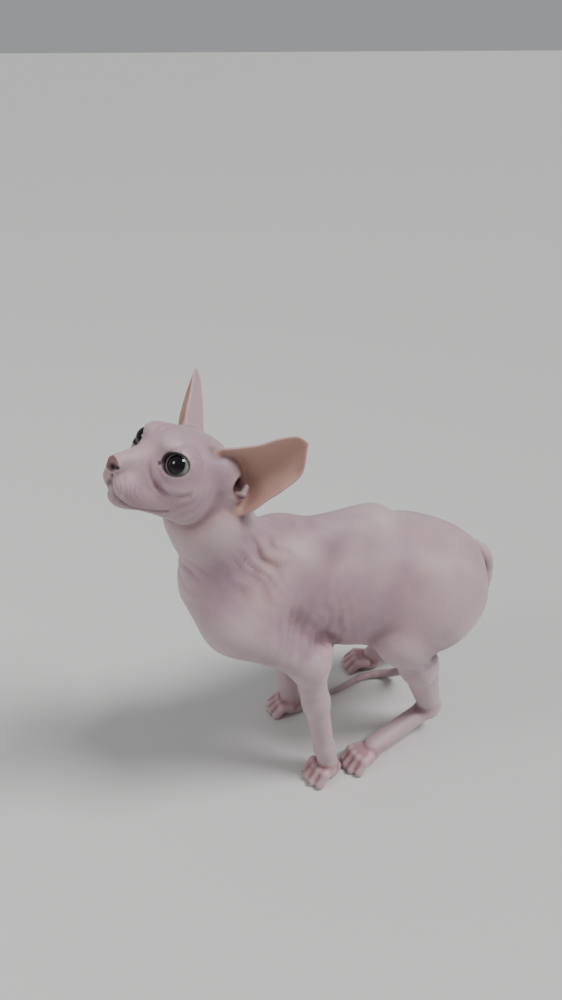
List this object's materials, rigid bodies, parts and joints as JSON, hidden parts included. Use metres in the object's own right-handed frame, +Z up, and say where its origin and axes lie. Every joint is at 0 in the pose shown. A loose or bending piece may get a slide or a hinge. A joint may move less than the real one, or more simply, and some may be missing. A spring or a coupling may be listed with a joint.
{
  "type": "hairless cat model",
  "caption": "Life-size still model of a hairless cat standing low on four feet, head raised and turned to its left, large ears out, tail tucked under the belly.",
  "frame": {"origin": "centre of the base of the model's bounding box, on the floor", "axes": "-Y is the way the trunk faces, +X is the cat's left side, +Z is up"},
  "size_m": [0.1526, 0.3316, 0.3536],
  "materials": {
    "skin": "matte, bare wrinkled skin with a faint down",
    "ear_skin": "matte, thin bare skin",
    "eyeball": "wet gloss, opaque"
  },
  "bodies": {
    "root": {"head": "skin", "neck": "skin", "torso": "skin", "left_fore_upper_arm": "skin", "left_fore_forearm": "skin", "left_fore_paw": "skin", "right_fore_upper_arm": "skin", "right_fore_forearm": "skin", "right_fore_paw": "skin", "left_hind_thigh": "skin", "left_hind_shin": "skin", "left_hind_foot": "skin", "right_hind_thigh": "skin", "right_hind_shin": "skin", "right_hind_foot": "skin", "tail_base": "skin", "tail_middle": "skin", "tail_tip": "skin", "eye_left": "eyeball", "eye_right": "eyeball", "ear_left": "ear_skin", "ear_right": "ear_skin"}
  },
  "joints": []
}
